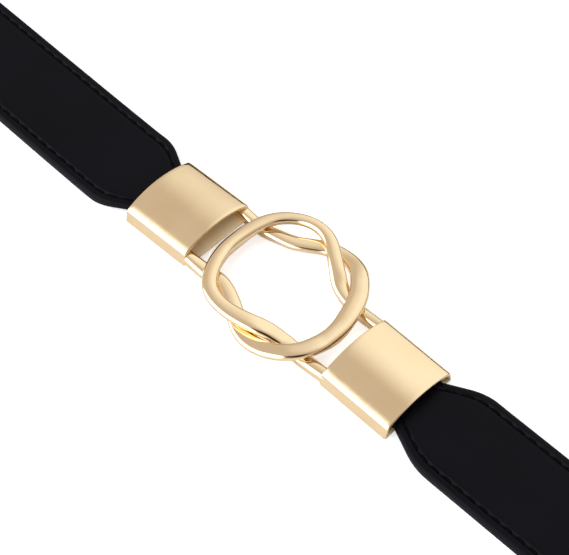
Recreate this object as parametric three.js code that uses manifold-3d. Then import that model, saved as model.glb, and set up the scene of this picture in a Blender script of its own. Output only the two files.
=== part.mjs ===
// A narrow elastic stretch belt with an interlocking two-loop buckle, closed and lying on a table.
// Millimetres, +Z up. The belt's front runs along X, the waist opening lies behind it towards +Y.
import * as THREE from "three";
import { mergeVertices } from "three/addons/utils/BufferGeometryUtils.js";
import Module from "manifold-3d";

// Leather straps
const STRAP_WIDTH = 25;
const STRAP_THICKNESS = 2.5;
const STRAP_LENGTH = 185;
const STITCH_INSET = 2.3;
const GROOVE_WIDTH = 1.4;
const GROOVE_DEPTH = 0.25;
const EDGE_ROLL = 1.4;
const EDGE_DROP = 0.8;
const EDGE_EASE = 0.4;
const TONGUE_WIDTH = 16.2;
const TONGUE_THICKNESS = 1.7;
const TONGUE_DEPTH = 12;
const RISE_LENGTH = 15;
const SHOULDER_ROUNDING = 0.375; // share of a shoulder's length, to either side of its corner

// Elastic back, as wide as the straps
const ELASTIC_THICKNESS = 1.3;
const ELASTIC_EDGE = 0.35;
const SEAM_LENGTH = 15;

// Way round the waist
const LOOP_LENGTH = 780;
const FLAT_LEFT = 120;
const FLAT_RIGHT = 92;
const TWIST_LENGTH = 42;
const CORNER_RADIUS = 26;
const LEFT_DRIFT = 1.3;
const CORNER_START = 0.86; // share of the twist that is over when the way round starts to turn
const DRIFT_BACK = 1 / 3; // share of the way round where the drift eases out, and over which it does
const NARROWEST_BACK = 5; // half angle of the arc behind, in degrees, between these two
const WIDEST_BACK = 150;

// Arched sleeves of the buckle
const SLEEVE_LENGTH = 20.3;
const SLEEVE_WIDTH = 21;
const SLEEVE_SIDE_HEIGHT = 3.7;
const SLEEVE_CROWN_HEIGHT = 6.2;
const SLEEVE_WALL = 0.8;
const SLEEVE_SHOULDER = 0.9;
const SLEEVE_HEEL = 0.4;
const SLEEVE_FLARE = 0.6;
const LIP_LENGTH = 0.75;
const LIP_THICKNESS = 0.6;

// Ring of two interlocking loops
const RING_RADIUS = 17.5;
const ROD_WIDTH = 4.2;
const ROD_DEPTH = 2.15;
const ROD_LIFT = 1.0;
const ROD_SQUARENESS = 0.78; // 1 is an oval section, less is squarer
const RAIL_LENGTH = 2.75;
const RAIL_WIDTH = 3.2;
const RAIL_DEPTH = 3.3;
const RAIL_ROOT = 2.2;

// Clearance between pieces that touch on the real belt
const GAP = 0.3;

// Fineness of the faceted solids: facets round and along a rod, facets of an arch, and sections
// along a strap's shoulder and twist (a count) and along the standing bands (a distance)
const ROD_SIDES = 12;
const ROD_STEPS = 4;
const ARCH_STEPS = 12;
const BEND_SECTIONS = 9;
const STRAP_STEP = 5;
const ELASTIC_STEP = 10;
const MERGE_DISTANCE = 1e-4;

const sleeveCentre = RING_RADIUS + ROD_WIDTH / 2 + RAIL_LENGTH + SLEEVE_LENGTH / 2;
const sleeveMouth = sleeveCentre + SLEEVE_LENGTH / 2;
const strapEnd = sleeveMouth + STRAP_LENGTH;
const rodLow = ROD_LIFT + ROD_DEPTH / 2;
const rodHigh = rodLow + ROD_DEPTH + GAP;

// How each half of the buckle lies: pitch lifts the ring side of its sleeve, in degrees
const HALVES = {
  left: { side: -1, across: 0.2, pitch: 3.5, shoulder: 8 },
  right: { side: 1, across: -0.5, pitch: 1.7, shoulder: 9.2 },
};

// Loop of the left half, from its upper rail round its bend at the right to its lower rail.
// along and across are shares of RING_RADIUS, rise goes from low (0) to high (1), wide is a share
// of ROD_WIDTH, and deep one of ROD_DEPTH, with the top left where it is.
const LEFT_LOOP = [
  { along: -0.96, across: 0.55, rise: 0.00, wide: 0.78, deep: 1.40 },
  { along: -0.73, across: 0.60, rise: 0.00, wide: 0.84, deep: 1.10 },
  { along: -0.49, across: 0.67, rise: 0.00, wide: 0.88, deep: 1.00 },
  { along: -0.29, across: 0.80, rise: 0.00, wide: 0.90, deep: 1.00 },
  { along: -0.09, across: 0.93, rise: 0.00, wide: 0.90, deep: 1.00 },
  { along: 0.13, across: 0.985, rise: 0.05, wide: 0.90, deep: 1.00 },
  { along: 0.34, across: 0.97, rise: 0.30, wide: 0.92, deep: 1.00 },
  { along: 0.52, across: 0.885, rise: 0.70, wide: 1.02, deep: 1.00 },
  { along: 0.68, across: 0.735, rise: 0.97, wide: 1.08, deep: 1.00 },
  { along: 0.82, across: 0.54, rise: 1.00, wide: 1.12, deep: 1.00 },
  { along: 0.92, across: 0.25, rise: 1.00, wide: 1.12, deep: 1.08 },
  { along: 0.957, across: 0.08, rise: 1.00, wide: 1.09, deep: 1.50 },
  { along: 0.967, across: -0.08, rise: 1.00, wide: 1.06, deep: 1.65 },
  { along: 0.96, across: -0.22, rise: 1.00, wide: 1.06, deep: 1.45 },
  { along: 0.933, across: -0.37, rise: 1.00, wide: 1.06, deep: 1.00 },
  { along: 0.85, across: -0.58, rise: 1.00, wide: 1.04, deep: 1.00 },
  { along: 0.70, across: -0.74, rise: 0.90, wide: 1.00, deep: 1.00 },
  { along: 0.50, across: -0.84, rise: 0.50, wide: 0.98, deep: 1.00 },
  { along: 0.28, across: -0.865, rise: 0.10, wide: 1.03, deep: 1.00 },
  { along: 0.08, across: -0.835, rise: 0.00, wide: 1.16, deep: 1.00 },
  { along: -0.12, across: -0.755, rise: 0.00, wide: 1.10, deep: 1.00 },
  { along: -0.30, across: -0.645, rise: 0.00, wide: 1.00, deep: 1.00 },
  { along: -0.49, across: -0.545, rise: 0.00, wide: 0.98, deep: 1.00 },
  { along: -0.72, across: -0.47, rise: 0.00, wide: 0.97, deep: 1.15 },
  { along: -0.96, across: -0.485, rise: 0.00, wide: 0.96, deep: 1.40 },
];

// Loop of the right half, from its upper rail round its bend at the left to its lower rail
const RIGHT_LOOP = [
  { along: 0.82, across: 0.485, rise: 0.00, wide: 0.80, deep: 1.40 },
  { along: 0.63, across: 0.525, rise: 0.00, wide: 0.86, deep: 1.10 },
  { along: 0.46, across: 0.585, rise: 0.22, wide: 0.94, deep: 1.00 },
  { along: 0.315, across: 0.685, rise: 0.66, wide: 0.94, deep: 1.00 },
  { along: 0.16, across: 0.80, rise: 0.96, wide: 0.86, deep: 1.00 },
  { along: 0.00, across: 0.92, rise: 1.00, wide: 0.84, deep: 1.00 },
  { along: -0.17, across: 1.005, rise: 1.00, wide: 0.78, deep: 1.00 },
  { along: -0.35, across: 1.03, rise: 1.00, wide: 0.72, deep: 1.00 },
  { along: -0.53, across: 0.995, rise: 1.00, wide: 0.70, deep: 1.00 },
  { along: -0.72, across: 0.885, rise: 1.00, wide: 0.72, deep: 1.00 },
  { along: -0.88, across: 0.71, rise: 1.00, wide: 0.78, deep: 1.00 },
  { along: -0.97, across: 0.49, rise: 1.00, wide: 0.84, deep: 1.00 },
  { along: -1.01, across: 0.25, rise: 1.00, wide: 0.86, deep: 1.30 },
  { along: -1.02, across: 0.10, rise: 1.00, wide: 0.86, deep: 1.55 },
  { along: -1.018, across: -0.04, rise: 1.00, wide: 0.86, deep: 1.55 },
  { along: -0.99, across: -0.20, rise: 1.00, wide: 0.86, deep: 1.25 },
  { along: -0.88, across: -0.49, rise: 1.00, wide: 0.86, deep: 1.00 },
  { along: -0.70, across: -0.70, rise: 1.00, wide: 0.88, deep: 1.00 },
  { along: -0.48, across: -0.78, rise: 1.00, wide: 0.92, deep: 1.00 },
  { along: -0.26, across: -0.785, rise: 1.00, wide: 0.96, deep: 1.00 },
  { along: -0.04, across: -0.745, rise: 1.00, wide: 1.04, deep: 1.00 },
  { along: 0.16, across: -0.68, rise: 0.94, wide: 1.08, deep: 1.00 },
  { along: 0.34, across: -0.605, rise: 0.60, wide: 1.03, deep: 1.00 },
  { along: 0.49, across: -0.565, rise: 0.16, wide: 0.98, deep: 1.00 },
  { along: 0.63, across: -0.54, rise: 0.00, wide: 0.94, deep: 1.15 },
  { along: 0.82, across: -0.565, rise: 0.00, wide: 0.92, deep: 1.40 },
];

const wasm = await Module();
wasm.setup();

const rad = THREE.MathUtils.degToRad;
const smooth = (t) => THREE.MathUtils.smoothstep(t, 0, 1);

// Closed body through rings of points that all have the same count, with a flat cap at either end.
// capOutline is the first ring as a flat outline, for the triangles of the caps.
function loft(rings, capOutline) {
  const count = rings[0].length;
  const position = rings.flat().flatMap((p) => [p.x, p.y, p.z]);
  const index = [];
  for (let r = 0; r + 1 < rings.length; r += 1) {
    for (let i = 0; i < count; i += 1) {
      const a = r * count + i;
      const b = r * count + ((i + 1) % count);
      index.push(a, b + count, b, a, a + count, b + count);
    }
  }
  const last = (rings.length - 1) * count;
  for (const [a, b, c] of THREE.ShapeUtils.triangulateShape(capOutline, [])) {
    index.push(a, b, c, last + c, last + b, last + a);
  }
  const geometry = new THREE.BufferGeometry();
  geometry.setAttribute("position", new THREE.Float32BufferAttribute(position, 3));
  geometry.setIndex(index);
  return geometry;
}

function toSolid(geometry) {
  const bare = geometry.clone();
  bare.deleteAttribute("normal");
  bare.deleteAttribute("uv");
  const merged = mergeVertices(bare, MERGE_DISTANCE);
  return new wasm.Manifold(new wasm.Mesh({
    numProp: 3,
    vertProperties: merged.attributes.position.array,
    triVerts: Uint32Array.from(merged.index.array),
  }));
}

function toGeometry(solid) {
  const mesh = solid.getMesh();
  const geometry = new THREE.BufferGeometry();
  geometry.setAttribute("position", new THREE.BufferAttribute(Float32Array.from(mesh.vertProperties), 3));
  geometry.setIndex(new THREE.BufferAttribute(Uint32Array.from(mesh.triVerts), 1));
  return geometry;
}

// Radius and centre height of the arc over the sleeve's side walls
function archOf() {
  const sagitta = SLEEVE_CROWN_HEIGHT - SLEEVE_SIDE_HEIGHT;
  const radius = ((SLEEVE_WIDTH / 2) ** 2 + sagitta ** 2) / (2 * sagitta);
  return { radius, centre: SLEEVE_CROWN_HEIGHT - radius };
}

// Cross section of the arched tube, moved inwards by inset. Its side walls flare towards their feet.
function sleeveOutline(path, inset, shoulder, heel) {
  const arch = archOf();
  const half = SLEEVE_WIDTH / 2 - inset;
  const foot = half + SLEEVE_FLARE;
  const radius = arch.radius - inset;
  const turn = Math.asin((half - shoulder) / radius);
  const topY = radius * Math.sin(turn);
  const topZ = arch.centre + radius * Math.cos(turn);
  const shoulderZ = topZ - shoulder * Math.tan(turn);
  const wallZ = topZ - shoulder;
  path.moveTo(-foot + heel, inset);
  path.lineTo(foot - heel, inset);
  path.quadraticCurveTo(foot, inset, foot, inset + heel);
  path.lineTo(half, wallZ);
  path.quadraticCurveTo(half, shoulderZ, topY, topZ);
  path.absarc(0, arch.centre, radius, Math.PI / 2 - turn, Math.PI / 2 + turn, false);
  path.quadraticCurveTo(-half, shoulderZ, -half, wallZ);
  path.lineTo(-foot, inset + heel);
  path.quadraticCurveTo(-foot, inset, -foot + heel, inset);
  return path;
}

// The turn and place of one sleeve, whose lowest edge touches the table
function sleevePose(half) {
  const pitch = rad(half.pitch);
  const lift = (SLEEVE_LENGTH / 2) * Math.sin(pitch);
  return new THREE.Matrix4()
    .makeTranslation(half.side * sleeveCentre, half.across, lift)
    .multiply(new THREE.Matrix4().makeRotationY(half.side * pitch));
}

function makeSleeve(half) {
  const shape = sleeveOutline(new THREE.Shape(), 0, SLEEVE_SHOULDER, SLEEVE_HEEL);
  shape.holes.push(sleeveOutline(new THREE.Path(), SLEEVE_WALL, SLEEVE_SHOULDER / 2, SLEEVE_HEEL / 2));
  const tube = new THREE.ExtrudeGeometry(shape, {
    depth: SLEEVE_LENGTH,
    bevelEnabled: false,
    curveSegments: ARCH_STEPS,
  });
  tube.translate(0, 0, -SLEEVE_LENGTH / 2);
  tube.applyMatrix4(new THREE.Matrix4().set(0, 0, 1, 0, 1, 0, 0, 0, 0, 1, 0, 0, 0, 0, 0, 1));
  return tube.applyMatrix4(sleevePose(half));
}

// The sleeve's floor juts out a little below the arch, between the rails
function makeLip(half) {
  const length = LIP_LENGTH + SLEEVE_WALL;
  const lip = new THREE.BoxGeometry(length, SLEEVE_WIDTH - 2 * SLEEVE_WALL, LIP_THICKNESS);
  lip.translate(-half.side * (SLEEVE_LENGTH / 2 + LIP_LENGTH - length / 2), 0, SLEEVE_WALL / 2);
  return lip.applyMatrix4(sleevePose(half));
}

// Where a rail is rooted in its sleeve: in the corner of the side wall and the floor, at the ring side
function railRoot(half, upper) {
  const inward = -half.side * (SLEEVE_LENGTH / 2 - RAIL_ROOT);
  const outer = upper * (SLEEVE_WIDTH / 2 + SLEEVE_FLARE / 2 - RAIL_WIDTH / 2);
  return new THREE.Vector3(inward, outer, RAIL_DEPTH / 2).applyMatrix4(sleevePose(half));
}

// One rod bent through the rows of a loop table, with both ends rooted in the half's sleeve
function makeRod(half, rows) {
  const place = rows.map((row) => new THREE.Vector3(
    row.along * RING_RADIUS,
    row.across * RING_RADIUS,
    THREE.MathUtils.lerp(rodLow, rodHigh, row.rise) - ((row.deep - 1) * ROD_DEPTH) / 2,
  ));
  const size = rows.map((row) => new THREE.Vector3(row.wide * ROD_WIDTH, row.deep * ROD_DEPTH, 0));
  const rail = new THREE.Vector3(RAIL_WIDTH, RAIL_DEPTH, 0);
  const path = new THREE.CatmullRomCurve3([railRoot(half, 1), ...place, railRoot(half, -1)]);
  const sizes = new THREE.CatmullRomCurve3([rail, ...size, rail]);
  const steps = (rows.length + 1) * ROD_STEPS;
  const up = new THREE.Vector3(0, 0, 1);
  const rings = [];
  let outline = [];
  for (let k = 0; k <= steps; k += 1) {
    const point = path.getPoint(k / steps);
    const { x: width, y: depth } = sizes.getPoint(k / steps);
    const forward = path.getTangent(k / steps);
    const side = new THREE.Vector3().crossVectors(forward, up).normalize();
    const top = new THREE.Vector3().crossVectors(side, forward).normalize();
    const ring = rodSection(width, depth);
    rings.push(ring.map((q) => point.clone().addScaledVector(side, q.x).addScaledVector(top, q.y)));
    outline = ring;
  }
  return loft(rings, outline);
}

// A rounded, slightly squared oval
function rodSection(width, depth) {
  const points = [];
  for (let i = 0; i < ROD_SIDES; i += 1) {
    const turn = ((i + 0.5) / ROD_SIDES) * Math.PI * 2;
    const x = Math.sign(Math.cos(turn)) * Math.abs(Math.cos(turn)) ** ROD_SQUARENESS;
    const y = Math.sign(Math.sin(turn)) * Math.abs(Math.sin(turn)) ** ROD_SQUARENESS;
    points.push(new THREE.Vector2((x * width) / 2, (y * depth) / 2));
  }
  return points;
}

// The belt's way round as seen from above: the straight front, two tight corners and one wide arc
// behind, solved so that it closes at LOOP_LENGTH.
const cornerLeft = FLAT_LEFT + TWIST_LENGTH * CORNER_START;
const cornerRight = FLAT_RIGHT + TWIST_LENGTH * CORNER_START;
const backAngle = solveBackAngle();
const backRadius = (cornerLeft + cornerRight) / 2 / Math.sin(backAngle) + CORNER_RADIUS;
const cornerTurn = Math.PI - backAngle;
const cornerLength = CORNER_RADIUS * cornerTurn;

function loopLengthAt(angle) {
  const front = cornerLeft + cornerRight;
  return front + 2 * CORNER_RADIUS * (Math.PI - angle)
    + 2 * angle * (front / 2 / Math.sin(angle) + CORNER_RADIUS);
}

function solveBackAngle() {
  const halvings = 50;
  let low = rad(NARROWEST_BACK);
  let high = rad(WIDEST_BACK);
  for (let i = 0; i < halvings; i += 1) {
    const middle = (low + high) / 2;
    if (loopLengthAt(middle) < LOOP_LENGTH) low = middle;
    else high = middle;
  }
  return (low + high) / 2;
}

// Point on the way round at distance s from the middle of the buckle, going left first, with the
// direction that points into the waist opening.
function wayRound(s) {
  if (s <= cornerLeft) return planPoint(-s, 0, Math.PI / 2, s);
  const alongCorner = s - cornerLeft;
  if (alongCorner <= cornerLength) {
    const inward = Math.PI / 2 - alongCorner / CORNER_RADIUS;
    return planPoint(
      -cornerLeft - CORNER_RADIUS * Math.cos(inward),
      CORNER_RADIUS - CORNER_RADIUS * Math.sin(inward),
      inward,
      s,
    );
  }
  const alongBack = alongCorner - cornerLength;
  const backLength = 2 * backAngle * backRadius;
  if (alongBack <= backLength) {
    const inward = Math.PI / 2 - cornerTurn - alongBack / backRadius;
    const middleX = (cornerRight - cornerLeft) / 2;
    const middleY = CORNER_RADIUS - (backRadius - CORNER_RADIUS) * Math.cos(backAngle);
    return planPoint(
      middleX - backRadius * Math.cos(inward),
      middleY - backRadius * Math.sin(inward),
      inward,
      s,
    );
  }
  const fromRight = LOOP_LENGTH - s;
  if (fromRight > cornerRight) {
    const inward = Math.PI / 2 + (fromRight - cornerRight) / CORNER_RADIUS;
    return planPoint(
      cornerRight - CORNER_RADIUS * Math.cos(inward),
      CORNER_RADIUS - CORNER_RADIUS * Math.sin(inward),
      inward,
      s,
    );
  }
  return planPoint(fromRight, 0, Math.PI / 2, s);
}

// The left strap lies a hair askew, which eases out along the back
function planPoint(x, y, inward, s) {
  const start = smooth((s - sleeveMouth) / (cornerLeft - sleeveMouth));
  const end = smooth(s / LOOP_LENGTH / DRIFT_BACK - 1);
  return {
    middle: new THREE.Vector3(x, y + LEFT_DRIFT * (start - end), 0),
    inward: new THREE.Vector3(Math.cos(inward), Math.sin(inward), 0),
  };
}

// Lean of the band: flat on the table at the front (0), standing on its edge at the back (90 degrees)
function leanAt(s) {
  const left = smooth((s - FLAT_LEFT) / TWIST_LENGTH);
  const right = smooth((LOOP_LENGTH - s - FLAT_RIGHT) / TWIST_LENGTH);
  return (Math.PI / 2) * Math.min(left, right);
}

// Height of a strap's underside near its sleeve: on the sleeve's floor inside it, and outside it a
// smooth way down to the table that leaves the mouth along that floor
function undersideAt(half, distance) {
  const floor = SLEEVE_WALL + GAP;
  const slope = Math.tan(rad(half.pitch));
  if (distance <= sleeveMouth) return floor + (sleeveMouth - distance) * slope;
  const t = Math.min((distance - sleeveMouth) / RISE_LENGTH, 1);
  return floor * (1 - smooth(t)) - slope * RISE_LENGTH * t * (1 - t) ** 2;
}

// Places a section given across the band (u, from the edge that stays down) and through it
// (v, from the inner face outwards)
function placeSection(section, s, width, underside, shift) {
  const { middle, inward } = wayRound(s);
  const lean = leanAt(s);
  const cross = inward.clone().multiplyScalar(Math.cos(lean)).setZ(Math.sin(lean));
  const face = inward.clone().multiplyScalar(-Math.sin(lean)).setZ(Math.cos(lean));
  const start = middle.clone().addScaledVector(inward, shift - (width / 2) * Math.cos(lean)).setZ(underside);
  return section.map((q) => start.clone().addScaledVector(cross, q.x).addScaledVector(face, q.y));
}

// Section of a strap: rolled edges, and a groove for the stitches along each of them
function strapSection(width, thickness) {
  const groove = GROOVE_WIDTH / 2;
  const rollWidth = Math.min(EDGE_ROLL, STITCH_INSET - groove - EDGE_EASE / 2);
  const roll = [0, 1 / 3, 2 / 3, 1].map((share) => {
    const turn = (Math.PI / 2) * share;
    return [rollWidth * (1 - Math.cos(turn)), thickness - EDGE_DROP * (1 - Math.sin(turn))];
  });
  const edge = [
    [EDGE_EASE, 0],
    [0, EDGE_EASE],
    ...roll,
    [STITCH_INSET - groove, thickness],
    [STITCH_INSET, thickness - GROOVE_DEPTH],
    [STITCH_INSET + groove, thickness],
  ];
  const near = edge.map(([u, v]) => new THREE.Vector2(u, v));
  const far = edge.map(([u, v]) => new THREE.Vector2(width - u, v)).reverse();
  return [...near, ...far].reverse();
}

// Width of the tongue: the named size, or as wide as fits below the arch with a gap all round
function tongueWidth() {
  const arch = archOf();
  const height = SLEEVE_WALL + GAP + TONGUE_THICKNESS + GAP - arch.centre;
  const underArch = Math.sqrt(Math.max((arch.radius - SLEEVE_WALL) ** 2 - height ** 2, 0));
  return Math.min(TONGUE_WIDTH, 2 * underArch, SLEEVE_WIDTH - 2 * (SLEEVE_WALL + GAP));
}

// How far a strap has grown from its tongue (0) to its full size (1): a straight shoulder from the
// sleeve's mouth, with a rounded corner
function grownAt(half, distance) {
  const t = Math.max((distance - sleeveMouth) / half.shoulder, 0);
  if (t <= 1 - SHOULDER_ROUNDING) return t;
  if (t >= 1 + SHOULDER_ROUNDING) return 1;
  return t - (t - 1 + SHOULDER_ROUNDING) ** 2 / (4 * SHOULDER_ROUNDING);
}

// Distances from the middle of the buckle at which a strap gets a section
function strapStations(half, flat) {
  const stations = [sleeveMouth - TONGUE_DEPTH, sleeveMouth];
  const risen = sleeveMouth + Math.max(half.shoulder * (1 + SHOULDER_ROUNDING), RISE_LENGTH);
  const stood = flat + TWIST_LENGTH;
  for (let i = 1; i <= BEND_SECTIONS; i += 1) {
    stations.push(THREE.MathUtils.lerp(sleeveMouth, risen, i / BEND_SECTIONS));
  }
  for (let i = 0; i <= BEND_SECTIONS; i += 1) {
    stations.push(THREE.MathUtils.lerp(flat, stood, i / BEND_SECTIONS));
  }
  const pieces = Math.ceil((strapEnd - stood) / STRAP_STEP);
  for (let i = 1; i <= pieces; i += 1) {
    stations.push(THREE.MathUtils.lerp(stood, strapEnd, i / pieces));
  }
  return stations;
}

function makeStrap(half, flat) {
  const rings = [];
  let outline = [];
  const stations = strapStations(half, flat);
  if (half.side > 0) stations.reverse();
  for (const distance of stations) {
    const full = grownAt(half, distance);
    const width = THREE.MathUtils.lerp(tongueWidth(), STRAP_WIDTH, full);
    const thickness = THREE.MathUtils.lerp(TONGUE_THICKNESS, STRAP_THICKNESS, full);
    const s = half.side < 0 ? distance : LOOP_LENGTH - distance;
    outline = strapSection(width, thickness);
    rings.push(placeSection(outline, s, width, undersideAt(half, distance), half.across * (1 - full)));
  }
  return loft(rings, outline);
}

// The elastic runs inside the ends of both straps, where they are sewn to it
function makeElastic() {
  const start = strapEnd - SEAM_LENGTH;
  const length = LOOP_LENGTH - 2 * start;
  const steps = Math.ceil(length / ELASTIC_STEP);
  const inner = -GAP - ELASTIC_THICKNESS;
  const section = [
    [ELASTIC_EDGE, inner],
    [0, inner + ELASTIC_EDGE],
    [0, -GAP - ELASTIC_EDGE],
    [ELASTIC_EDGE, -GAP],
    [STRAP_WIDTH - ELASTIC_EDGE, -GAP],
    [STRAP_WIDTH, -GAP - ELASTIC_EDGE],
    [STRAP_WIDTH, inner + ELASTIC_EDGE],
    [STRAP_WIDTH - ELASTIC_EDGE, inner],
  ].map(([u, v]) => new THREE.Vector2(u, v)).reverse();
  const rings = [];
  for (let i = 0; i <= steps; i += 1) {
    rings.push(placeSection(section, start + (length * i) / steps, STRAP_WIDTH, 0, 0));
  }
  return loft(rings, section);
}

function makeBuckleHalf(half, rows) {
  const sleeve = toSolid(makeSleeve(half)).add(toSolid(makeLip(half)));
  return toGeometry(sleeve.add(toSolid(makeRod(half, rows))));
}

const gold = new THREE.MeshStandardMaterial({ color: "#dcc298", roughness: 0.2, metalness: 1 });
const leather = new THREE.MeshStandardMaterial({ color: "#18181b", roughness: 0.5, metalness: 0 });
const elastic = new THREE.MeshStandardMaterial({ color: "#131315", roughness: 0.9, metalness: 0 });

function named(name, geometry, material) {
  geometry.computeVertexNormals();
  const mesh = new THREE.Mesh(geometry, material);
  mesh.name = name;
  return mesh;
}

const belt = new THREE.Group();
belt.add(named("buckle_left", makeBuckleHalf(HALVES.left, LEFT_LOOP), gold));
belt.add(named("buckle_right", makeBuckleHalf(HALVES.right, RIGHT_LOOP), gold.clone()));
belt.add(named("strap_left", makeStrap(HALVES.left, FLAT_LEFT), leather));
belt.add(named("strap_right", makeStrap(HALVES.right, FLAT_RIGHT), leather.clone()));
belt.add(named("elastic_band", makeElastic(), elastic));

// The origin is the middle of the belt's box, on the table
const box = new THREE.Box3().setFromObject(belt);
const model = new THREE.Group();
belt.position.set(-(box.min.x + box.max.x) / 2, -(box.min.y + box.max.y) / 2, -box.min.z);
model.add(belt);

export default model;
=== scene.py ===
"""Looks of the elastic stretch belt: the same shapes as the CAD part, finer, with their materials."""

import math

import bpy
import numpy as np
from mathutils import Matrix


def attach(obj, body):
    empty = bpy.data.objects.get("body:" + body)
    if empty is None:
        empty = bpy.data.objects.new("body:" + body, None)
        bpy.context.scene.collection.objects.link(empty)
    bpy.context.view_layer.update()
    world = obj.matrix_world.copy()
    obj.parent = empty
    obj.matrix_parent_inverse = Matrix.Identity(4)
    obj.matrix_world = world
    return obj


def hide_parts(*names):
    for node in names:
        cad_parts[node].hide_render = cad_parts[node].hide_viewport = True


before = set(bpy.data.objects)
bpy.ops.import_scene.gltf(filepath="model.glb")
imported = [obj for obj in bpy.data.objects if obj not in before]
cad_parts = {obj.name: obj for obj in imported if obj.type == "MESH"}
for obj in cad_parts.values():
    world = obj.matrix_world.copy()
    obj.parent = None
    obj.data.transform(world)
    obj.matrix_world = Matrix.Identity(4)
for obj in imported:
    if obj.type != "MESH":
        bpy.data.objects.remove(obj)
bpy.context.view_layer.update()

# All sizes are in millimetres in the drawing frame of the CAD source, with the middle of the buckle at
# x = 0, and BELT_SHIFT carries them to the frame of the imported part. A size that the CAD source names
# too has the same name and value here.
MM = 0.001
BELT_SHIFT = np.array([13.954, -54.203, 0.0])

# Straps
STRAP_WIDTH = 25.0
STRAP_THICKNESS = 2.5
STRAP_LENGTH = 185.0
STITCH_INSET = 2.3
GROOVE_WIDTH = 1.4
SEWN_DEPTH = 0.45  # of the groove where the thread pulls it in
EDGE_ROLL = 1.4
EDGE_DROP = 0.8
EDGE_EASE = 0.4
LEATHER_PUFF = 0.05  # by which the face swells between its grooves
END_EASE = 0.2  # length over which the ends of a strap are eased, by END_INSET all round
END_INSET = 0.15
TONGUE_WIDTH = 16.2
TONGUE_THICKNESS = 1.7
TONGUE_DEPTH = 12.0
RISE_LENGTH = 15.0
SHOULDER_ROUNDING = 0.375  # share of a shoulder's length, to either side of its corner

# Stitches
STITCH_PITCH = 3.5
STITCH_LENGTH = 2.6
THREAD = 0.6
ROW_START = 1.6  # from the sleeve to the first stitch of a row
ROW_MARGIN = 6.0  # what a row leaves free of the strap's length
SEAM_LENGTH = 15.0
CROSS_SEAMS = (3.0, SEAM_LENGTH - 4.0)  # places of the seams over the elastic, from the strap's end
SEAM_START = 0.9  # from the groove to the first stitch of a cross seam
SEAM_MARGIN = 1.2  # what a cross seam leaves free between the two grooves

# Elastic
ELASTIC_THICKNESS = 1.3
ELASTIC_EDGE = 0.35
RIBS = 20
RIB_HEIGHT = 0.13
RIB_FULLNESS = 0.7  # 1 is a plain wave, less is fuller

# The way round
LOOP_LENGTH = 780.0
FLAT_LEFT = 120.0
FLAT_RIGHT = 92.0
TWIST_LENGTH = 42.0
CORNER_RADIUS = 26.0
LEFT_DRIFT = 1.3
CORNER_START = 0.86  # share of the twist that is over when the way round starts to turn
DRIFT_BACK = 1 / 3  # share of the way round where the drift eases out, and over which it does
NARROWEST_BACK = 5  # half angle of the arc behind, in degrees, between these two
WIDEST_BACK = 150

# Sleeves of the buckle
SLEEVE_LENGTH = 20.3
SLEEVE_WIDTH = 21.0
SLEEVE_SIDE_HEIGHT = 3.7
SLEEVE_CROWN_HEIGHT = 6.2
SLEEVE_WALL = 0.8
SLEEVE_SHOULDER = 0.9
SLEEVE_HEEL = 0.4
SLEEVE_FLARE = 0.6
SLEEVE_RIM = 0.3  # depth of the rounding round both mouths
LIP_LENGTH = 0.75
LIP_THICKNESS = 0.6
LIP_ROUNDING = 0.12
LIP_SKIN = 0.01  # by which the lip's top lies over the sleeve's floor

# Loops of the buckle
RING_RADIUS = 17.5
ROD_WIDTH = 4.2
ROD_DEPTH = 2.15
ROD_LIFT = 1.0
ROD_SQUARENESS = 0.78  # 1 is an oval section, less is squarer
RAIL_LENGTH = 2.75
RAIL_WIDTH = 3.2
RAIL_DEPTH = 3.3
RAIL_ROOT = 2.2

GAP = 0.3

SLEEVE_CENTRE = RING_RADIUS + ROD_WIDTH / 2 + RAIL_LENGTH + SLEEVE_LENGTH / 2
SLEEVE_MOUTH = SLEEVE_CENTRE + SLEEVE_LENGTH / 2
STRAP_END = SLEEVE_MOUTH + STRAP_LENGTH
ROD_LOW = ROD_LIFT + ROD_DEPTH / 2
ROD_HIGH = ROD_LOW + ROD_DEPTH + GAP

# The two halves of the belt: the side that each lies on, how far its sleeve lies off the middle line,
# the sleeve's slope in degrees and the length of its strap's shoulder
LEFT = {"side": -1, "across": 0.2, "pitch": 3.5, "shoulder": 8.0}
RIGHT = {"side": 1, "across": -0.5, "pitch": 1.7, "shoulder": 9.2}

# Rows of (along, across, rise, wide, deep): shares of the ring's radius, of the way from low to high,
# of the rod's width and of its depth
LEFT_LOOP = [
    (-0.96, 0.55, 0.00, 0.78, 1.40), (-0.73, 0.60, 0.00, 0.84, 1.10), (-0.49, 0.67, 0.00, 0.88, 1.00),
    (-0.29, 0.80, 0.00, 0.90, 1.00), (-0.09, 0.93, 0.00, 0.90, 1.00), (0.13, 0.985, 0.05, 0.90, 1.00),
    (0.34, 0.97, 0.30, 0.92, 1.00), (0.52, 0.885, 0.70, 1.02, 1.00), (0.68, 0.735, 0.97, 1.08, 1.00),
    (0.82, 0.54, 1.00, 1.12, 1.00), (0.92, 0.25, 1.00, 1.12, 1.08), (0.957, 0.08, 1.00, 1.09, 1.50),
    (0.967, -0.08, 1.00, 1.06, 1.65), (0.96, -0.22, 1.00, 1.06, 1.45), (0.933, -0.37, 1.00, 1.06, 1.00),
    (0.85, -0.58, 1.00, 1.04, 1.00), (0.70, -0.74, 0.90, 1.00, 1.00), (0.50, -0.84, 0.50, 0.98, 1.00),
    (0.28, -0.865, 0.10, 1.03, 1.00), (0.08, -0.835, 0.00, 1.16, 1.00), (-0.12, -0.755, 0.00, 1.10, 1.00),
    (-0.30, -0.645, 0.00, 1.00, 1.00), (-0.49, -0.545, 0.00, 0.98, 1.00), (-0.72, -0.47, 0.00, 0.97, 1.15),
    (-0.96, -0.485, 0.00, 0.96, 1.40),
]
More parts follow.
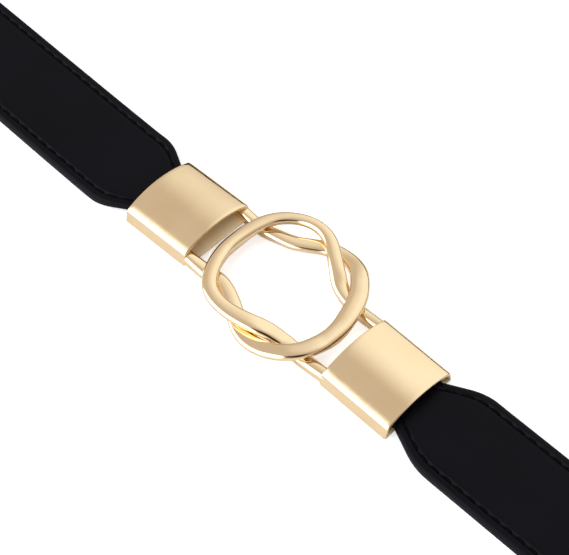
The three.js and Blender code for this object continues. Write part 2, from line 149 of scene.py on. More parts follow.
RIGHT_LOOP = [
    (0.82, 0.485, 0.00, 0.80, 1.40), (0.63, 0.525, 0.00, 0.86, 1.10), (0.46, 0.585, 0.22, 0.94, 1.00),
    (0.315, 0.685, 0.66, 0.94, 1.00), (0.16, 0.80, 0.96, 0.86, 1.00), (0.00, 0.92, 1.00, 0.84, 1.00),
    (-0.17, 1.005, 1.00, 0.78, 1.00), (-0.35, 1.03, 1.00, 0.72, 1.00), (-0.53, 0.995, 1.00, 0.70, 1.00),
    (-0.72, 0.885, 1.00, 0.72, 1.00), (-0.88, 0.71, 1.00, 0.78, 1.00), (-0.97, 0.49, 1.00, 0.84, 1.00),
    (-1.01, 0.25, 1.00, 0.86, 1.30), (-1.02, 0.10, 1.00, 0.86, 1.55), (-1.018, -0.04, 1.00, 0.86, 1.55),
    (-0.99, -0.20, 1.00, 0.86, 1.25), (-0.88, -0.49, 1.00, 0.86, 1.00), (-0.70, -0.70, 1.00, 0.88, 1.00),
    (-0.48, -0.78, 1.00, 0.92, 1.00), (-0.26, -0.785, 1.00, 0.96, 1.00), (-0.04, -0.745, 1.00, 1.04, 1.00),
    (0.16, -0.68, 0.94, 1.08, 1.00), (0.34, -0.605, 0.60, 1.03, 1.00), (0.49, -0.565, 0.16, 0.98, 1.00),
    (0.63, -0.54, 0.00, 0.94, 1.15), (0.82, -0.565, 0.00, 0.92, 1.40),
]

# How finely the forms are cut: points round a section, or sections along a piece
TONGUE_SECTIONS = 8
SHOULDER_SECTIONS = 46
SHOULDER_STRETCH = 18.0  # length past the sleeve that the shoulder's sections cover
STRAP_STEP = 1.25  # length between sections past them
EASE_POINTS = 6
EASE_SUPPORT = 2.2  # place of the point that keeps the underside flat, in widths of its eased edge
ROLL_POINTS = 12
BORDER_POINTS = 4
GROOVE_POINTS = 12
FACE_POINTS = 8
THREAD_SIDES = 8
THREAD_RINGS = 9
ELASTIC_STEP = 2.4
RIB_POINTS = 6
SELVEDGE_POINTS = 6
FLOOR_POINTS = 12
HEEL_POINTS = 8
WALL_POINTS = 8
SHOULDER_POINTS = 14
ARCH_POINTS = 32
SLEEVE_SECTIONS = 24
RIM_SECTIONS = 10
LIP_SECTIONS = 12
LIP_POINTS = 6
ROD_SIDES = 44
ROD_RINGS_PER_ROW = 12
BACK_HALVINGS = 50

Z_AXIS = np.array([0.0, 0.0, 1.0])


def unit(v):
    """The vector v at length 1."""
    return v / np.linalg.norm(v)


def smooth(t):
    """Goes from 0 to 1 with level ends."""
    t = min(max(t, 0.0), 1.0)
    return t * t * (3 - 2 * t)


def mix(a, b, t):
    """Share t of the way from a to b."""
    return a + (b - a) * t


def plain_map(row, i):
    """Band map of a piece whose places needn't be told apart."""
    return 0.0, 0.0, 0.0, 0.0


class Builder:
    """Collects patches of quads, in millimetres of the drawing frame, into one mesh."""

    def __init__(self):
        self.points = []
        self.faces = []
        self.uvs = []

    def grid(self, rings, along_closed=False, uv=plain_map):
        """Skin over closed rings. uv(row, i) gives the band map's u and v at both ends of a quad."""
        rows = len(rings)
        count = len(rings[0])
        start = len(self.points)
        for ring in rings:
            self.points.extend(ring)
        for r in range(rows if along_closed else rows - 1):
            for i in range(count):
                j = (i + 1) % count
                a = start + r * count + i
                b = start + r * count + j
                c = start + ((r + 1) % rows) * count + j
                d = start + ((r + 1) % rows) * count + i
                self.faces.append((a, b, c, d))
                u0, v0, u1, v1 = uv(r, i)
                self.uvs.append([(u0, v0), (u0, v1), (u1, v1), (u1, v0)])

    def cap(self, ring, uv=(0.0, 0.0), flip=False):
        """One flat face that closes the end of a grid."""
        start = len(self.points)
        self.points.extend(ring)
        order = list(range(start, start + len(ring)))
        if flip:
            order.reverse()
        self.faces.append(tuple(order))
        self.uvs.append([uv] * len(order))

    def make(self, name, material, replaces=()):
        """Makes the object, which rides on the belt and stands in for the solids that it replaces."""
        mesh = bpy.data.meshes.new(name)
        points = (np.array(self.points) + BELT_SHIFT) * MM
        mesh.from_pydata(points.tolist(), [], self.faces)
        layer = mesh.uv_layers.new(name="band")
        flat = [value for corners in self.uvs for corner in corners for value in corner]
        layer.data.foreach_set("uv", flat)
        mesh.polygons.foreach_set("use_smooth", [True] * len(mesh.polygons))
        mesh.materials.append(material)
        obj = bpy.data.objects.new(name, mesh)
        bpy.context.scene.collection.objects.link(obj)
        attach(obj, "root")
        if replaces:
            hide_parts(*replaces)


# The way round: a flat front, a corner at either side and one arc behind

CORNER_LEFT = FLAT_LEFT + TWIST_LENGTH * CORNER_START
CORNER_RIGHT = FLAT_RIGHT + TWIST_LENGTH * CORNER_START
FRONT = CORNER_LEFT + CORNER_RIGHT


def solve_back_angle():
    """Half angle of the arc behind that gives the belt its length."""
    low, high = math.radians(NARROWEST_BACK), math.radians(WIDEST_BACK)
    for _ in range(BACK_HALVINGS):
        angle = (low + high) / 2
        length = FRONT + 2 * CORNER_RADIUS * (math.pi - angle)
        length += 2 * angle * (FRONT / 2 / math.sin(angle) + CORNER_RADIUS)
        if length < LOOP_LENGTH:
            low = angle
        else:
            high = angle
    return (low + high) / 2


BACK_ANGLE = solve_back_angle()
BACK_RADIUS = FRONT / 2 / math.sin(BACK_ANGLE) + CORNER_RADIUS
CORNER_TURN = math.pi - BACK_ANGLE
CORNER_LENGTH = CORNER_RADIUS * CORNER_TURN


def way_round(s):
    """Middle of the band at distance s, going left first, and the direction into the waist opening."""
    from_right = LOOP_LENGTH - s
    if s <= CORNER_LEFT:
        x, y, inward = -s, 0.0, math.pi / 2
    elif s - CORNER_LEFT <= CORNER_LENGTH:
        inward = math.pi / 2 - (s - CORNER_LEFT) / CORNER_RADIUS
        x = -CORNER_LEFT - CORNER_RADIUS * math.cos(inward)
        y = CORNER_RADIUS - CORNER_RADIUS * math.sin(inward)
    elif s - CORNER_LEFT - CORNER_LENGTH <= 2 * BACK_ANGLE * BACK_RADIUS:
        along = s - CORNER_LEFT - CORNER_LENGTH
        inward = math.pi / 2 - CORNER_TURN - along / BACK_RADIUS
        x = (CORNER_RIGHT - CORNER_LEFT) / 2 - BACK_RADIUS * math.cos(inward)
        y = CORNER_RADIUS - (BACK_RADIUS - CORNER_RADIUS) * math.cos(BACK_ANGLE)
        y -= BACK_RADIUS * math.sin(inward)
    elif from_right > CORNER_RIGHT:
        inward = math.pi / 2 + (from_right - CORNER_RIGHT) / CORNER_RADIUS
        x = CORNER_RIGHT - CORNER_RADIUS * math.cos(inward)
        y = CORNER_RADIUS - CORNER_RADIUS * math.sin(inward)
    else:
        x, y, inward = from_right, 0.0, math.pi / 2
    start = smooth((s - SLEEVE_MOUTH) / (CORNER_LEFT - SLEEVE_MOUTH))
    end = smooth((s - LOOP_LENGTH * DRIFT_BACK) / (LOOP_LENGTH * DRIFT_BACK))
    middle = np.array([x, y + LEFT_DRIFT * (start - end), 0.0])
    return middle, np.array([math.cos(inward), math.sin(inward), 0.0])


def lean_at(s):
    """Angle by which the band stands up: 0 where it lies flat, a quarter turn where it is on edge."""
    left = smooth((s - FLAT_LEFT) / TWIST_LENGTH)
    right = smooth((LOOP_LENGTH - s - FLAT_RIGHT) / TWIST_LENGTH)
    return math.pi / 2 * min(left, right)


def underside_at(half, distance):
    """Height of a strap's underside: over the sleeve's floor inside it, then down to the table."""
    floor = SLEEVE_WALL + GAP
    slope = math.tan(math.radians(half["pitch"]))
    if distance <= SLEEVE_MOUTH:
        return floor + (SLEEVE_MOUTH - distance) * slope
    t = min((distance - SLEEVE_MOUTH) / RISE_LENGTH, 1)
    return floor * (1 - smooth(t)) - slope * RISE_LENGTH * t * (1 - t) ** 2


def band_frame(s, width, underside, shift):
    """Start corner of the band's section, its direction across the band and its outward face."""
    middle, inward = way_round(s)
    lean = lean_at(s)
    cross = inward * math.cos(lean) + Z_AXIS * math.sin(lean)
    face = -inward * math.sin(lean) + Z_AXIS * math.cos(lean)
    start = middle + inward * (shift - width / 2 * math.cos(lean))
    start[2] = underside
    return start, cross, face


# Leather straps

def tongue_width():
    """Width of a tongue, as far as the arch of the sleeve leaves it room."""
    sagitta = SLEEVE_CROWN_HEIGHT - SLEEVE_SIDE_HEIGHT
    radius = ((SLEEVE_WIDTH / 2) ** 2 + sagitta ** 2) / (2 * sagitta)
    height = SLEEVE_WALL + GAP + TONGUE_THICKNESS + GAP - (SLEEVE_CROWN_HEIGHT - radius)
    under_arch = math.sqrt(max((radius - SLEEVE_WALL) ** 2 - height ** 2, 0))
    return min(TONGUE_WIDTH, 2 * under_arch, SLEEVE_WIDTH - 2 * (SLEEVE_WALL + GAP))


FITTED_TONGUE = tongue_width()


def grown_at(half, distance):
    """Share of the way from tongue to full strap, with the shoulder's corner rounded."""
    t = max((distance - SLEEVE_MOUTH) / half["shoulder"], 0)
    if t <= 1 - SHOULDER_ROUNDING:
        return t
    if t >= 1 + SHOULDER_ROUNDING:
        return 1
    return t - (t - 1 + SHOULDER_ROUNDING) ** 2 / (4 * SHOULDER_ROUNDING)


def strap_frame(half, distance):
    """Band frame of a strap at a distance from the buckle's middle, its width, thickness and growth."""
    full = grown_at(half, distance)
    width = mix(FITTED_TONGUE, STRAP_WIDTH, full)
    thickness = mix(TONGUE_THICKNESS, STRAP_THICKNESS, full)
    s = distance if half["side"] < 0 else LOOP_LENGTH - distance
    shift = half["across"] * (1 - full)
    placed = band_frame(s, width, underside_at(half, distance), shift)
    return placed, width, thickness, full


def strap_half_section(thickness, width, full):
    """Points from the middle of the underside round the rolled edge to the middle of the top."""
    groove = GROOVE_WIDTH / 2
    puff = LEATHER_PUFF * full
    points = [(width / 2, 0.0), (width / 4, 0.0), (EDGE_EASE * EASE_SUPPORT, 0.0)]
    for k in range(EASE_POINTS + 1):
        turn = k / EASE_POINTS * math.pi / 2
        points.append((EDGE_EASE * (1 - math.sin(turn)), EDGE_EASE * (1 - math.cos(turn))))
    for k in range(ROLL_POINTS + 1):
        turn = k / ROLL_POINTS * math.pi / 2
        points.append((EDGE_ROLL * (1 - math.cos(turn)), thickness - EDGE_DROP * (1 - math.sin(turn))))
    for k in range(1, BORDER_POINTS):
        t = k / BORDER_POINTS
        across = mix(EDGE_ROLL, STITCH_INSET - groove, t)
        points.append((across, thickness + puff / 2 * math.sin(t * math.pi)))
    for k in range(GROOVE_POINTS + 1):
        t = k / GROOVE_POINTS * 2 - 1
        dip = SEWN_DEPTH * (0.5 + 0.5 * math.cos(t * math.pi))
        points.append((STITCH_INSET + groove * t, thickness - dip))
    for k in range(1, FACE_POINTS + 1):
        t = k / FACE_POINTS
        across = mix(STITCH_INSET + groove, width / 2, t)
        points.append((across, thickness + puff * math.sin(t * math.pi / 2)))
    return points


def strap_stations():
    """Distances from the buckle's middle at which a strap has its sections."""
    shoulder_end = SLEEVE_MOUTH + SHOULDER_STRETCH
    stations = list(np.linspace(SLEEVE_MOUTH - TONGUE_DEPTH, SLEEVE_MOUTH, TONGUE_SECTIONS)[:-1])
    stations += list(np.linspace(SLEEVE_MOUTH, shoulder_end, SHOULDER_SECTIONS)[:-1])
    stations += list(np.arange(shoulder_end, STRAP_END - 2 * END_EASE, STRAP_STEP))
    stations += [STRAP_END - END_EASE, STRAP_END]
    return stations


def strap_ring(half, distance, inset):
    """Section of a strap, drawn in by inset all round, and the same section on the flat strap."""
    (start, cross, face), width, thickness, full = strap_frame(half, distance)
    near = strap_half_section(thickness, width, full)
    far = [(width - u, v) for u, v in near][1:-1]
    section = near + far[::-1]
    ring = []
    for u, v in section:
        u = mix(u, width / 2, inset * 2 / width)
        v = mix(v, thickness / 2, inset * 2 / thickness)
        ring.append(start + cross * u + face * v)
    return ring, section


def add_strap(builder, half):
    """One leather strap, from the end of its tongue to its end over the elastic."""
    stations = strap_stations()
    rings = []
    across = []
    for k, distance in enumerate(stations):
        inset = END_INSET if k in (0, len(stations) - 1) else 0.0
        ring, section = strap_ring(half, distance, inset)
        if half["side"] > 0:
            ring = ring[:1] + ring[:0:-1]
            section = section[:1] + section[:0:-1]
        rings.append(ring)
        across.append([u for u, _ in section])
    count = len(rings[0])

    def uv(r, i):
        return stations[r], across[r][i], stations[r + 1], across[r][(i + 1) % count]

    builder.grid(rings, uv=uv)
    builder.cap(rings[0])
    builder.cap(rings[-1], flip=True)


# Stitches

STITCH_RISE = 0.30  # height of a stitch's middle over the leather, as a share of the thread
STITCH_DIVE = 0.62  # depth of its ends below its middle, as a share of the thread
STITCH_CURVE = 4  # power of the dive and of the taper towards the ends
STITCH_TAPER = 0.93  # share of the way to where the taper would end in a point
STITCH_TIP = 0.02  # least share that the taper leaves of the thread's section
THREAD_FLATNESS = 0.9  # height of the thread's section to its width


def add_stitch(builder, at, start, end):
    """One thread bead from start to end, which are places that at takes, diving into the leather at both
    ends. at(place) gives the point on the surface and the surface's normal."""
    path = []
    for k in range(THREAD_RINGS):
        t = k / (THREAD_RINGS - 1)
        point, normal = at(mix(start, end, t))
        lift = THREAD * (STITCH_RISE - STITCH_DIVE * abs(2 * t - 1) ** STITCH_CURVE)
        path.append((point + normal * lift, normal))
    rings = []
    for k, (point, normal) in enumerate(path):
        ahead = path[min(k + 1, THREAD_RINGS - 1)][0]
        behind = path[max(k - 1, 0)][0]
        forward = unit(ahead - behind)
        side = unit(np.cross(forward, normal))
        up = np.cross(side, forward)
        t = abs(2 * k / (THREAD_RINGS - 1) - 1)
        share = max(1 - (t * STITCH_TAPER) ** STITCH_CURVE, STITCH_TIP)
        radius = THREAD / 2 * math.sqrt(share)
        ring = []
        for i in range(THREAD_SIDES):
            turn = 2 * math.pi * i / THREAD_SIDES
            out = side * math.cos(turn) + up * math.sin(turn) * THREAD_FLATNESS
            ring.append(point + out * radius)
        rings.append(ring)

    def uv(r, i):
        along = STITCH_LENGTH / (THREAD_RINGS - 1)
        return r * along, i / THREAD_SIDES, (r + 1) * along, (i + 1) / THREAD_SIDES

    builder.grid(rings, uv=uv)
    builder.cap(rings[0], flip=True)
    builder.cap(rings[-1])


def groove_surface(half, row):
    """Gives the point and normal in a stitched groove at a distance along the strap."""

    def at(distance):
        (start, cross, face), width, thickness, _ = strap_frame(half, distance)
        across = STITCH_INSET if row == 0 else width - STITCH_INSET
        return start + cross * across + face * (thickness - SEWN_DEPTH), face

    return at


def seam_surface(half, distance):
    """Gives the point and normal on a strap's face at a place across it."""
    (start, cross, face), _, thickness, _ = strap_frame(half, distance)

    def at(across):
        return start + cross * across + face * thickness, face

    return at


def add_stitches(builder, half):
    """Both rows of stitches along a strap, and the cross seams that hold the elastic."""
    count = int((STRAP_LENGTH - ROW_MARGIN) / STITCH_PITCH)
    for row in (0, 1):
        for k in range(count):
            begin = SLEEVE_MOUTH + ROW_START + k * STITCH_PITCH
            add_stitch(builder, groove_surface(half, row), begin, begin + STITCH_LENGTH)
    inner = STRAP_WIDTH - 2 * STITCH_INSET - SEAM_MARGIN
    number = int(inner / STITCH_PITCH)
    for from_end in CROSS_SEAMS:
        for k in range(number):
            begin = STITCH_INSET + SEAM_START + k * inner / number
            add_stitch(builder, seam_surface(half, STRAP_END - from_end), begin, begin + STITCH_LENGTH)


# Elastic

SELVEDGE_TUCK = 0.6  # share of a rib's height by which the selvedges lie below the ribs


def elastic_section():
    """Points round the elastic: ribs that run along it on both faces, and rounded selvedges."""
    top = -GAP
    low = -GAP - ELASTIC_THICKNESS
    span = STRAP_WIDTH - 2 * ELASTIC_EDGE
    half_height = ELASTIC_THICKNESS / 2 - RIB_HEIGHT * SELVEDGE_TUCK
    count = RIBS * RIB_POINTS
    shares = [k / count for k in range(count + 1)]
    points = []

    def add_face(level, into, places):
        for t in places:
            dip = RIB_HEIGHT * (1 - abs(math.sin(t * RIBS * math.pi)) ** RIB_FULLNESS)
            points.append((ELASTIC_EDGE + span * t, level + into * dip))

    def add_selvedge(across, first_turn):
        for k in range(1, SELVEDGE_POINTS):
            turn = first_turn + k / SELVEDGE_POINTS * math.pi
            height = (top + low) / 2 + half_height * math.sin(turn)
            points.append((across + ELASTIC_EDGE * math.cos(turn), height))

    add_face(low, 1, shares)
    add_selvedge(STRAP_WIDTH - ELASTIC_EDGE, -math.pi / 2)
    add_face(top, -1, [1 - t for t in shares])
    add_selvedge(ELASTIC_EDGE, math.pi / 2)
    return points


def add_elastic(builder):
    """The elastic, from inside the end of one strap to inside the end of the other."""
    start = STRAP_END - SEAM_LENGTH
    length = LOOP_LENGTH - 2 * start
    steps = int(length / ELASTIC_STEP)
    section = elastic_section()
    rings = []
    places = []
    for k in range(steps + 1):
        s = start + length * k / steps
        corner, cross, face = band_frame(s, STRAP_WIDTH, 0.0, 0.0)
        rings.append([corner + cross * u + face * v for u, v in section])
        places.append(s)
    count = len(section)

    def uv(r, i):
        return places[r], section[i][0], places[r + 1], section[(i + 1) % count][0]

    builder.grid(rings, uv=uv)
    builder.cap(rings[0], flip=True)
    builder.cap(rings[-1])


# Buckle

SAME_POINT = 1e-4  # a step that counts as none
SOFTEN_PASSES = 2
PATH_REACH = 4  # sections to either side that soften the way of a rod
SIZE_REACH = 6  # and its width and depth


def catmull(rows, t):
    """Point of a centripetal Catmull-Rom curve through rows at t from 0 to 1."""
    last = len(rows) - 1
    place = t * last
    i = min(int(math.floor(place)), last - 1)
    w = place - i
    p1, p2 = rows[i], rows[i + 1]
    p0 = rows[i - 1] if i > 0 else 2 * rows[0] - rows[1]
    p3 = rows[i + 2] if i + 2 <= last else 2 * rows[last] - rows[last - 1]
    d0, d1, d2 = (np.linalg.norm(b - a) ** 0.5 for a, b in ((p0, p1), (p1, p2), (p2, p3)))
    if d1 < SAME_POINT:
        d1 = 1.0
    if d0 < SAME_POINT:
        d0 = d1
    if d2 < SAME_POINT:
        d2 = d1
    t1 = ((p1 - p0) / d0 - (p2 - p0) / (d0 + d1) + (p2 - p1) / d1) * d1
    t2 = ((p2 - p1) / d1 - (p3 - p1) / (d1 + d2) + (p3 - p2) / d2) * d1
    return (
        p1 + t1 * w
        + (-3 * p1 + 3 * p2 - 2 * t1 - t2) * w ** 2
        + (2 * p1 - 2 * p2 + t1 + t2) * w ** 3
    )


def soften(values, reach):
    """Evens out small jumps along a list of rows; both ends stay."""
    out = np.array(values)
    kernel = np.ones(2 * reach + 1) / (2 * reach + 1)
    for _ in range(SOFTEN_PASSES):
        padded = np.concatenate([
            2 * out[:1] - out[reach:0:-1],
            out,
            2 * out[-1:] - out[-2:-reach - 2:-1],
        ])
        columns = [np.convolve(padded[:, c], kernel, "valid") for c in range(out.shape[1])]
        out = np.stack(columns, axis=1)
    return out


def sleeve_pose(half):
    """Carries a point from a sleeve's own frame, middle of its underside, to the drawing frame."""
    pitch = math.radians(half["pitch"])
    lift = SLEEVE_LENGTH / 2 * math.sin(pitch)
    turn = half["side"] * pitch
    c, s = math.cos(turn), math.sin(turn)
    rotation = np.array([[c, 0, s], [0, 1, 0], [-s, 0, c]])
    place = np.array([half["side"] * SLEEVE_CENTRE, half["across"], lift])
    return lambda p: rotation @ np.asarray(p, float) + place


def quadratic(a, b, c, count):
    """Points after a on the curve from a to c that b pulls on."""
    out = []
    for k in range(1, count + 1):
        t = k / count
        out.append((
            (1 - t) ** 2 * a[0] + 2 * t * (1 - t) * b[0] + t * t * c[0],
            (1 - t) ** 2 * a[1] + 2 * t * (1 - t) * b[1] + t * t * c[1],
        ))
    return out


def line(a, b, count):
    """Points after a on the straight line from a to b."""
    return [(mix(a[0], b[0], k / count), mix(a[1], b[1], k / count)) for k in range(1, count + 1)]


def sleeve_outline(inset, shoulder, heel):
    """Points round a sleeve's section, from the middle of its floor: floor, side wall, arch and back."""
    sagitta = SLEEVE_CROWN_HEIGHT - SLEEVE_SIDE_HEIGHT
    arch = ((SLEEVE_WIDTH / 2) ** 2 + sagitta ** 2) / (2 * sagitta)
    centre = SLEEVE_CROWN_HEIGHT - arch
    half = SLEEVE_WIDTH / 2 - inset
    foot = half + SLEEVE_FLARE
    radius = arch - inset
    turn = math.asin((half - shoulder) / radius)
    top_y, top_z = radius * math.sin(turn), centre + radius * math.cos(turn)
    shoulder_z = top_z - shoulder * math.tan(turn)
    wall_z = top_z - shoulder
    points = [(0.0, inset)]
    points += line((0.0, inset), (foot - heel, inset), FLOOR_POINTS)
    points += quadratic((foot - heel, inset), (foot, inset), (foot, inset + heel), HEEL_POINTS)
    points += line((foot, inset + heel), (half, wall_z), WALL_POINTS)
    points += quadratic((half, wall_z), (half, shoulder_z), (top_y, top_z), SHOULDER_POINTS)
    for k in range(1, ARCH_POINTS + 1):
        angle = turn * (1 - k / ARCH_POINTS)
        points.append((radius * math.sin(angle), centre + radius * math.cos(angle)))
    mirrored = [(-y, z) for y, z in points[1:-1]]
    return points + mirrored[::-1]


def add_sleeve(builder, half):
    """The arched tube, out along its outside, round one rim, back inside and round the other rim. The
    band map is 0 outside and 1 inside."""
    outer = np.array(sleeve_outline(0.0, SLEEVE_SHOULDER, SLEEVE_HEEL))
    inner = np.array(sleeve_outline(SLEEVE_WALL, SLEEVE_SHOULDER / 2, SLEEVE_HEEL / 2))
    pose = sleeve_pose(half)
    end = SLEEVE_LENGTH / 2 - SLEEVE_RIM
    rim_turns = [k / RIM_SECTIONS * math.pi for k in range(1, RIM_SECTIONS)]
    rings = []
    shares = []

    def put(x, share):
        section = outer + (inner - outer) * share
        rings.append([pose((x, y, z)) for y, z in section])
        shares.append(share)

    for x in np.linspace(-end, end, SLEEVE_SECTIONS):
        put(x, 0.0)
    for turn in rim_turns:
        put(end + SLEEVE_RIM * math.sin(turn), (1 - math.cos(turn)) / 2)
    for x in np.linspace(end, -end, SLEEVE_SECTIONS):
        put(x, 1.0)
    for turn in rim_turns:
        put(-end - SLEEVE_RIM * math.sin(turn), (1 + math.cos(turn)) / 2)

    def uv(row, _):
        return shares[row], 0.0, shares[(row + 1) % len(shares)], 1.0

    builder.grid(rings, along_closed=True, uv=uv)


def add_lip(builder, half):
    """The floor of a sleeve below its arch, with eased edges, marked as unpolished on the band map. Short
    support faces beside its edges keep its smooth shading flat."""
    pose = sleeve_pose(half)
    width = SLEEVE_WIDTH - 2 * SLEEVE_WALL
    inner = SLEEVE_LENGTH / 2 - 4 * SLEEVE_WALL
    outer = SLEEVE_LENGTH / 2 + LIP_LENGTH
    low = (SLEEVE_WALL - LIP_THICKNESS) / 2
    high = SLEEVE_WALL + LIP_SKIN
    ease = LIP_ROUNDING / 4
    section = [(inner, high), (inner + ease, high), (outer - LIP_ROUNDING - ease, high)]
    for k in range(LIP_POINTS + 1):
        turn = k / LIP_POINTS * math.pi / 2
        section.append((
            outer - LIP_ROUNDING * (1 - math.sin(turn)),
            high - LIP_ROUNDING * (1 - math.cos(turn)),
        ))
    section += [(outer, low + ease), (outer, low), (outer - ease, low), (inner + ease, low), (inner, low)]
    rings = []
    for y in np.linspace(-width / 2, width / 2, LIP_SECTIONS):
        rings.append([pose((-half["side"] * x, y, z)) for x, z in section])
    if half["side"] < 0:
        rings.reverse()
    builder.grid(rings, uv=lambda row, i: (1.0, 0.0, 1.0, 1.0))
    builder.cap(rings[0], uv=(1.0, 0.0))
    builder.cap(rings[-1], uv=(1.0, 0.0), flip=True)


def rod_section(width, depth):
    """Points round a rod: an oval drawn out towards a rectangle."""
    out = []
    for i in range(ROD_SIDES):
        turn = (i + 0.5) / ROD_SIDES * math.pi * 2
        x = math.copysign(abs(math.cos(turn)) ** ROD_SQUARENESS, math.cos(turn))
        y = math.copysign(abs(math.sin(turn)) ** ROD_SQUARENESS, math.sin(turn))
        out.append((x * width / 2, y * depth / 2))
    return out


def add_rod(builder, half, loop):
    """The rod of one half: out of a side wall of the sleeve, round its loop and back to the other wall."""
    pose = sleeve_pose(half)

    def root(upper):
        inward = -half["side"] * (SLEEVE_LENGTH / 2 - RAIL_ROOT)
        outer = upper * (SLEEVE_WIDTH / 2 + SLEEVE_FLARE / 2 - RAIL_WIDTH / 2)
        return pose((inward, outer, RAIL_DEPTH / 2))

    rows = [root(1)]
    sizes = [np.array([RAIL_WIDTH, RAIL_DEPTH])]
    for along, across, rise, wide, deep in loop:
        height = mix(ROD_LOW, ROD_HIGH, rise) - (deep - 1) * ROD_DEPTH / 2
        rows.append(np.array([along * RING_RADIUS, across * RING_RADIUS, height]))
        sizes.append(np.array([wide * ROD_WIDTH, deep * ROD_DEPTH]))
    rows.append(root(-1))
    sizes.append(sizes[0])
    steps = (len(rows) - 1) * ROD_RINGS_PER_ROW
    path = soften([catmull(rows, k / steps) for k in range(steps + 1)], PATH_REACH)
    thick = soften([catmull(sizes, k / steps) for k in range(steps + 1)], SIZE_REACH)
    rings = []
    for k in range(steps + 1):
        forward = unit(path[min(k + 1, steps)] - path[max(k - 1, 0)])
        side = unit(np.cross(forward, Z_AXIS))
        top = unit(np.cross(side, forward))
        rings.append([path[k] + side * x + top * y for x, y in rod_section(*thick[k])])
    builder.grid(rings)
    builder.cap(rings[0])
    builder.cap(rings[-1], flip=True)


# Materials

# Each pair of colours is the darker and the lighter tone that a material wanders between
PLATING_TONES = ((0.91, 0.70, 0.44), (0.94, 0.74, 0.48))
PLATING_ROUGHNESS = (0.07, 0.11)
UNPOLISHED_TONES = ((0.96, 0.76, 0.48), (0.98, 0.82, 0.55))
UNPOLISHED_METALLIC = 0.05
UNPOLISHED_HAZE = 0.42  # roughness beyond that of the plating
UNPOLISHED_EDGE = (0.55, 0.95)  # of the band map, between which the polish ends

LEATHER_TONES = ((0.0016, 0.0015, 0.0036), (0.0026, 0.0024, 0.0052))
LEATHER_ROUGHNESS = (0.40, 0.50)
LEATHER_SPECULAR = 0.09

# The thread's darker tone lies in the hollows of its twist, where its bump sinks: painted shade.
THREAD_PAINTED_SHADE_TONES = ((0.0008, 0.0008, 0.0010), (0.0022, 0.0022, 0.0028))
THREAD_TWIST = 13.0  # radians to the millimetre
THREAD_ROUGHNESS = 0.6
THREAD_SPECULAR = 0.06

# The elastic's darker tone lies in the hollows between its knitted loops, where its bump sinks: painted
# shade.
ELASTIC_PAINTED_SHADE_TONES = ((0.003, 0.003, 0.0035), (0.010, 0.010, 0.0115))
KNIT_PITCH = 0.85  # length of one knitted loop along a rib
KNIT_SLANT = 2.4  # radians by which the loops lean over one rib
KNIT_FUZZ = 0.35
ELASTIC_ROUGHNESS = 0.8
ELASTIC_SPECULAR = 0.15
ELASTIC_SHEEN = 0.05
ELASTIC_SHEEN_ROUGHNESS = 0.4

FLOOR_TONES = ((0.90, 0.90, 0.90), (0.93, 0.93, 0.93))
FLOOR_ROUGHNESS = 0.9
FLOOR_GLOW = 0.55  # seen by the camera alone, which turns the floor white as in the photo
FLOOR_REACH = 6.0  # metres from the belt to the floor's edges

# Sockets of a colour mix node, whose names it has more than once
MIX_A, MIX_B, MIX_RESULT = 6, 7, 2


class Shader:
    """A node material with a few helpers to wire it."""

    def __init__(self, name):
        self.material = bpy.data.materials.new(name)
        self.material.use_nodes = True
        self.tree = self.material.node_tree
        self.tree.nodes.clear()
        out = self.tree.nodes.new("ShaderNodeOutputMaterial")
        self.bsdf = self.tree.nodes.new("ShaderNodeBsdfPrincipled")
        self.link(self.bsdf.outputs[0], out.inputs[0])

    def link(self, a, b):
        self.tree.links.new(a, b)

    def set(self, **values):
        """Sets sockets of the surface, with spaces for the underscores of their names."""
        for key, value in values.items():
            self.bsdf.inputs[key.replace("_", " ")].default_value = value

    def node(self, kind, inputs=None, **settings):
        """A node with its settings, and its inputs set or linked."""
        made = self.tree.nodes.new("ShaderNode" + kind)
        for key, value in settings.items():
            setattr(made, key, value)
        for key, value in (inputs or {}).items():
            if isinstance(value, bpy.types.NodeSocket):
                self.link(value, made.inputs[key])
            else:
                made.inputs[key].default_value = value
        return made

    def place(self):
        """The point in the object's own space, in metres."""
        return self.node("TexCoord").outputs["Object"]

    def band(self):
        """The two numbers of the band map."""
        where = self.node("UVMap", uv_map="band").outputs["UV"]
        split = self.node("SeparateXYZ", {"Vector": where})
        return split.outputs["X"], split.outputs["Y"]

    def math(self, operation, *values):
        inputs = dict(enumerate(values))
        return self.node("Math", inputs, operation=operation).outputs[0]

    def noise(self, vector, scale, detail=3.0, rough=0.5):
        inputs = {"Vector": vector, "Scale": scale, "Detail": detail, "Roughness": rough}
        return self.node("TexNoise", inputs).outputs["Fac"]

    def tones(self, value, low, high, colours):
        """The first of two colours where value is low, and the second where it is high."""
        made = self.node("ValToRGB", {"Fac": value})
        for element, place, colour in zip(made.color_ramp.elements, (low, high), colours):
            element.position = place
            element.color = (*colour, 1.0)
        return made.outputs["Color"]

    def remap(self, value, low, high, new_low, new_high):
        """The value carried from one range to another."""
        inputs = {
            "Value": value, "From Min": low, "From Max": high, "To Min": new_low, "To Max": new_high,
        }
        return self.node("MapRange", inputs).outputs["Result"]

    def bump(self, height, distance, strength, normal=None):
        """A normal that follows height, over the one given."""
        inputs = {"Height": height, "Distance": distance, "Strength": strength}
        if normal is not None:
            inputs["Normal"] = normal
        return self.node("Bump", inputs).outputs["Normal"]


